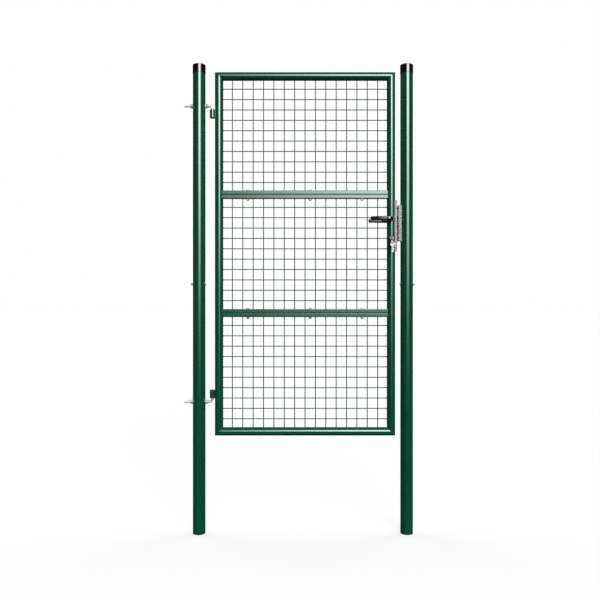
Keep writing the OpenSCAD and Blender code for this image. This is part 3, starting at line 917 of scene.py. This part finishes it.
def make_rail_bolts():
    """Hexagon bolts that clamp the stacked section tubes: head above, nut and tail below."""
    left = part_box("hinge_stile_middle")[0].x
    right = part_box("lock_stile_middle")[1].x
    middle = (left + right) / 2
    shank = [(0, 0), (RAIL_BOLT_RADIUS, 0), (RAIL_BOLT_RADIUS, RAIL_BOLT_SHANK), (0, RAIL_BOLT_SHANK)]
    for node in ("upper_rail_bolts", "lower_rail_bolts"):
        low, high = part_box(node)
        bm = bmesh.new()
        for shift in (-RAIL_BOLT_SPREAD, RAIL_BOLT_SHIFT, RAIL_BOLT_SPREAD):
            head = Vector((middle + shift, 0, high.z - RAIL_HEAD_HEIGHT))
            hex_nut(bm, head, Z, RAIL_BOLT_FLATS, RAIL_HEAD_HEIGHT)
            tail = Vector((middle + shift, 0, low.z))
            hex_nut(bm, tail + Z * RAIL_TAIL, Z, RAIL_BOLT_FLATS, RAIL_NUT_HEIGHT, RAIL_NUT_BORE)
            thread(bm, tail, Z, RAIL_BOLT_THREAD, RAIL_BOLT_RADIUS, RAIL_BOLT_PITCH, sides=16)
            lathe(bm, shank, tail + Z * (RAIL_BOLT_THREAD - RAIL_BOLT_OVERLAP), Z, sides=16)
        add_piece(f"{node}_cut", bm, "leaf", "zinc_plate", [node], sharp=30, finish="dull_zinc")


def make_caps():
    """Moulded caps: rounded rim, faintly domed top, beaded lower edge."""
    for node in ("hinge_post_cap", "latch_post_cap"):
        low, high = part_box(node)
        radius = (high.x - low.x) / 2
        full = high.z - low.z
        bore = radius - CAP_WALL
        profile = [(0, full - CAP_ROOF), (bore, full - CAP_ROOF), (bore, 0)]
        profile += [(radius, 0), (radius + CAP_BEAD, CAP_BEAD_MIDDLE), (radius, CAP_BEAD_TOP)]
        for a in quarter(CAP_RIM_STEPS):
            rim = radius - CAP_RIM + CAP_RIM * math.cos(a)
            profile.append((rim, full - CAP_RIM + CAP_RIM * math.sin(a)))
        for step in reversed(range(CAP_CROWN_STEPS)):
            share = step / CAP_CROWN_STEPS
            profile.append((radius * share, full + CAP_CROWN * (1 - share * share)))
        bm = bmesh.new()
        lathe(bm, profile, Vector(((low.x + high.x) / 2, 0, low.z)), Z, sides=64)
        add_piece(f"{node}_moulded", bm, "posts", "cap_plastic", [node], sharp=60)


def make_sleeves():
    """Hinge sleeves with chamfered mouths and the weld runs that hold them to the stile."""
    for node in ("upper_hinge_sleeve", "lower_hinge_sleeve"):
        low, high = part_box(node)
        radius = (high.y - low.y) / 2
        middle = Vector((low.x + radius, 0, low.z))
        full = high.z - low.z
        bore = ROD_RADIUS + SLEEVE_ROOM
        c = SLEEVE_CHAMFER
        profile = [
            (bore + c, 0), (radius - c, 0), (radius, c), (radius, full - c),
            (radius - c, full), (bore + c, full), (bore, full - c), (bore, c),
        ]
        bm = bmesh.new()
        lathe(bm, profile, middle, Z, sides=40, closed=True)
        x = middle.x + SLEEVE_WELD_OUT
        step = full / SLEEVE_WELD_STEPS
        for y in (-SLEEVE_WELD_ASIDE, SLEEVE_WELD_ASIDE):
            path = [Vector((x, y, low.z + i * step)) for i in range(1, SLEEVE_WELD_STEPS)]
            weld_bead(bm, path, Y, SLEEVE_WELD_RADIUS)
        add_piece(f"{node}_welded", bm, "leaf", "green_paint", [node], sharp=40)


def key_bow(bm, centre, across, up, radius, hole, hole_shift):
    """Round key head with an off-centre hole and chamfered rim."""
    normal = across.cross(up)
    half = KEY_THICK / 2
    edge = BOW_EDGE
    layers = (
        (hole, hole_shift, -half), (radius - edge, 0, -half), (radius, 0, edge - half),
        (radius, 0, half - edge), (radius - edge, 0, half), (hole, hole_shift, half),
    )
    rings = []
    for reach, shift, depth in layers:
        ring = []
        for a in circle(BOW_SIDES):
            spot = across * reach * math.cos(a) + up * (reach * math.sin(a) + shift)
            ring.append(bm.verts.new(centre + spot + normal * depth))
        rings.append(ring)
    join_rings(bm, rings, closed=True)


def tooth_cut(along):
    """Depth cut from the blade's edge at a distance along it."""
    cut = 0.0
    for i, depth in enumerate(TOOTH_DEPTHS):
        off = abs(along - TOOTH_FIRST - i * TOOTH_STEP)
        cut = max(cut, depth - max(0.0, off - TOOTH_FLAT))
    return cut


def key_blade(bm, start, along, face, length):
    """Key blade with a milled groove in each face, cut teeth on one edge and a narrowed end."""
    half = KEY_WIDTH / 2
    t = KEY_THICK / 2
    edge = BLADE_EDGE
    floor = GROOVE_DEPTH - t
    groove = [
        (GROOVE_MIDDLE - GROOVE_MOUTH, -t), (GROOVE_MIDDLE - GROOVE_FLOOR, floor),
        (GROOVE_MIDDLE + GROOVE_FLOOR, floor), (GROOVE_MIDDLE + GROOVE_MOUTH, -t),
    ]
    path = []
    outlines = []
    for step in range(BLADE_STEPS + 1):
        run = length * step / BLADE_STEPS
        path.append(start + along * run)
        narrow = 1 - BLADE_POINT_LOSS * max(0.0, (run - length + BLADE_POINT) / BLADE_POINT)
        teeth = half - tooth_cut(run)
        side = [(-half, edge - t), (edge - half, -t)] + groove + [(teeth - edge, -t), (teeth, edge - t)]
        outline = side + [(u, -v) for u, v in reversed(side)]
        outlines.append([(u * narrow, v) for u, v in outline])
    sweep(bm, path, face, outlines)


def make_key():
    """The key in the lock."""
    low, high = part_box("key")
    radius = (high.z - low.z) / 2
    middle = Vector(((low.x + high.x) / 2, low.y + radius, (low.z + high.z) / 2))
    bm = bmesh.new()
    key_bow(bm, middle, Z, -Y, radius, KEY_HOLE_RADIUS, KEY_HOLE_SHIFT)
    root = middle + Y * (radius - KEY_ROOT)
    key_blade(bm, root, Y, X, high.y - root.y)
    add_piece("key_cut", bm, "key_set", "nickel", ["key"], sharp=30)


def ring_place():
    """Middle of the key ring and the level direction in its plane."""
    low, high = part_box("key_ring")
    turn = math.radians(RING_TURN)
    return (low + high) / 2, Vector((math.cos(turn), math.sin(turn), 0))


def make_key_ring():
    """Split ring of almost two turns of flat wire; the turns change over in a short step."""
    middle, level = ring_place()
    axis = level.cross(Z)
    coil = RING_WIRE_RADIUS / 2
    path = []
    for step in range(RING_STEPS):
        a = math.radians(RING_START + RING_STEP * step)
        over = min(1.0, max(0.0, (step - RING_CROSS_FIRST) / RING_CROSS_STEPS))
        shift = coil * (2 * over * over * (3 - 2 * over) - 1)
        path.append(middle + (level * math.cos(a) + Z * math.sin(a)) * RING_RADIUS + axis * shift)
    section = oval(RING_WIRE_RADIUS, coil - RING_WIRE_ROOM, sides=12, power=RING_WIRE_SQUARENESS)
    bm = bmesh.new()
    sweep(bm, path, axis, [section] * RING_STEPS)
    add_piece("key_ring_split", bm, "key_set", "nickel", ["key_ring"], sharp=50)


def make_spare_keys():
    """Two spare keys that hang from the ring, each with its hole's rim on the ring's wire."""
    middle, level = ring_place()
    bm = bmesh.new()
    for swing in SPARE_ANGLES:
        a = math.radians(swing)
        off = RING_RADIUS * math.sin(abs(a)) + KEY_THICK / 2 / math.sin(math.radians(RING_TURN))
        slope = math.asin(off / RING_RADIUS)
        top = RING_WIRE_RADIUS / math.cos(slope) - RING_RADIUS * math.cos(slope) + SPARE_SEAT
        hang = middle + level * RING_RADIUS * math.sin(a) + Z * top
        bow = hang - Z * (SPARE_HOLE_RADIUS + SPARE_HOLE_SHIFT)
        key_bow(bm, bow, X, Z, SPARE_BOW_RADIUS, SPARE_HOLE_RADIUS, SPARE_HOLE_SHIFT)
        key_blade(bm, bow - Z * (SPARE_BOW_RADIUS - KEY_ROOT), -Z, Y, SPARE_BLADE + KEY_ROOT)
    add_piece("spare_keys_cut", bm, "key_set", "nickel", ["spare_keys"], sharp=30)


def cut_key_way(bm, mouth, outline, depth):
    """Sink a slot of this outline into the largest end face that looks along +Y."""
    bm.normal_update()
    end = max((f for f in bm.faces if f.normal.y > END_FACING), key=lambda f: f.calc_area())
    rim = list(end.edges)
    bmesh.ops.delete(bm, geom=[end], context="FACES_ONLY")
    edge = [bm.verts.new(mouth + X * u + Z * v) for u, v in outline]
    floor = [bm.verts.new(mouth + X * u + Z * v - Y * depth) for u, v in outline]
    join_rings(bm, [edge, floor, [bm.verts.new(mouth - Y * depth)]])
    rim += [bm.edges.get(pair) for pair in zip(edge, edge[1:] + edge[:1])]
    bmesh.ops.triangle_fill(bm, edges=rim, use_beauty=True)


def make_cylinder():
    """Lock cylinder with a key way in its rear end, and the plug face around that key way."""
    low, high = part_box("cylinder_plug")
    radius = (high.z - low.z) / 2
    mouth = Vector(((low.x + high.x) / 2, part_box("lock_cylinder")[1].y, (low.z + high.z) / 2))
    half_thick = KEY_THICK / 2 + KEY_WAY_ROOM
    half_wide = KEY_WIDTH / 2 + KEY_WAY_ROOM
    slot = oval(half_thick, half_wide, PLUG_SIDES, KEY_WAY_SQUARENESS)
    bm = softened("lock_cylinder", CYLINDER_EDGE)
    cut_key_way(bm, mouth, slot, KEY_WAY_DEPTH)
    add_piece("lock_cylinder_soft", bm, "leaf", "nickel", ["lock_cylinder"])

    step = PLUG_PROUD / 2
    disc = oval(radius, radius, PLUG_SIDES)
    shoulder = oval(radius - step, radius - step, PLUG_SIDES)
    layers = ((slot, 0), (disc, 0), (disc, step), (shoulder, PLUG_PROUD), (slot, PLUG_PROUD))
    bm = bmesh.new()
    rings = []
    for outline, rise in layers:
        rings.append([bm.verts.new(mouth + X * u + Z * v + Y * rise) for u, v in outline])
    join_rings(bm, rings, closed=True)
    add_piece("rear_plug_face", bm, "leaf", "brass", sharp=30)


def mitre_weld(bm, corner, slope, radius):
    """Weld run around a mitre; slope says how the mitre's plane falls to the right."""
    path = []
    for a in circle(MITRE_STEPS):
        shift = radius * math.cos(a)
        path.append(corner + Vector((shift, radius * math.sin(a), -slope * shift)))
    weld_bead(bm, path, Z, MITRE_BEAD, closed=True)


def section_outline(low, high):
    """Way of a weld run over a section tube in (y, rise) pairs: up one side, across and down the other."""
    deep = high.z - low.z
    c = TUBE_CORNER
    outline = [(low.y, TUBE_BEAD_START), (low.y, deep / 2)]
    for a in quarter(TUBE_CORNER_STEPS):
        outline.append((low.y + c * (1 - math.cos(a)), deep - c * (1 - math.sin(a))))
    flat = high.y - low.y - 2 * c
    for i in range(1, TUBE_FLAT_STEPS // 2 + 1):
        outline.append((low.y + c + flat * i / TUBE_FLAT_STEPS, deep))
    return outline + [(-y, rise) for y, rise in reversed(outline[:-1])]


def make_welds():
    """Painted weld runs: at the mitred corners and where the section tubes meet the stiles."""
    hinge_low, hinge_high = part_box("hinge_stile_middle")
    lock_low, lock_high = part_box("lock_stile_middle")
    radius = (hinge_high.x - hinge_low.x) / 2
    stiles = (((hinge_low.x + hinge_high.x) / 2, 1), ((lock_low.x + lock_high.x) / 2, -1))
    bm = bmesh.new()
    for axis_x, side in stiles:
        for rail, up in (("top_rail", 1), ("bottom_rail", -1)):
            low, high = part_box(rail)
            mitre_weld(bm, Vector((axis_x, 0, (low.z + high.z) / 2)), side * up, radius)
    tubes = (
        ("top_section_sill", 1), ("middle_section_head", -1),
        ("middle_section_sill", 1), ("bottom_section_head", -1),
    )
    for node, up in tubes:
        low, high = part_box(node)
        seam = low.z if up > 0 else high.z
        outline = section_outline(low, high)
        for axis_x, side in stiles:
            path = []
            for y, rise in outline:
                x = axis_x + side * math.sqrt(radius * radius - y * y)
                path.append(Vector((x, y, seam + up * rise)))
            weld_bead(bm, path, X, TUBE_BEAD)
    add_piece("frame_welds", bm, "leaf", "green_paint", sharp=60)


make_camera()
make_world()
make_floor()
scene.view_settings.view_transform = "Standard"

finish_solids()
make_meshes()
make_levers()
make_hinges()
make_post_bolts()
make_rail_bolts()
make_caps()
make_sleeves()
make_key()
make_key_ring()
make_spare_keys()
make_cylinder()
make_welds()
soften(POST_PIECES, "posts", POST_EDGE)
soften(("lock_forend",), "leaf", FOREND_EDGE)
soften(FRAME_TUBES, "leaf", TUBE_EDGE)
soften(("latch_bolt",), "latch", LOCK_BOLT_EDGE, finish="bolt_nickel")
soften(("dead_bolt",), "deadbolt", LOCK_BOLT_EDGE, finish="bolt_nickel")
soften(("cylinder_plug",), "key_set", PLUG_EDGE)
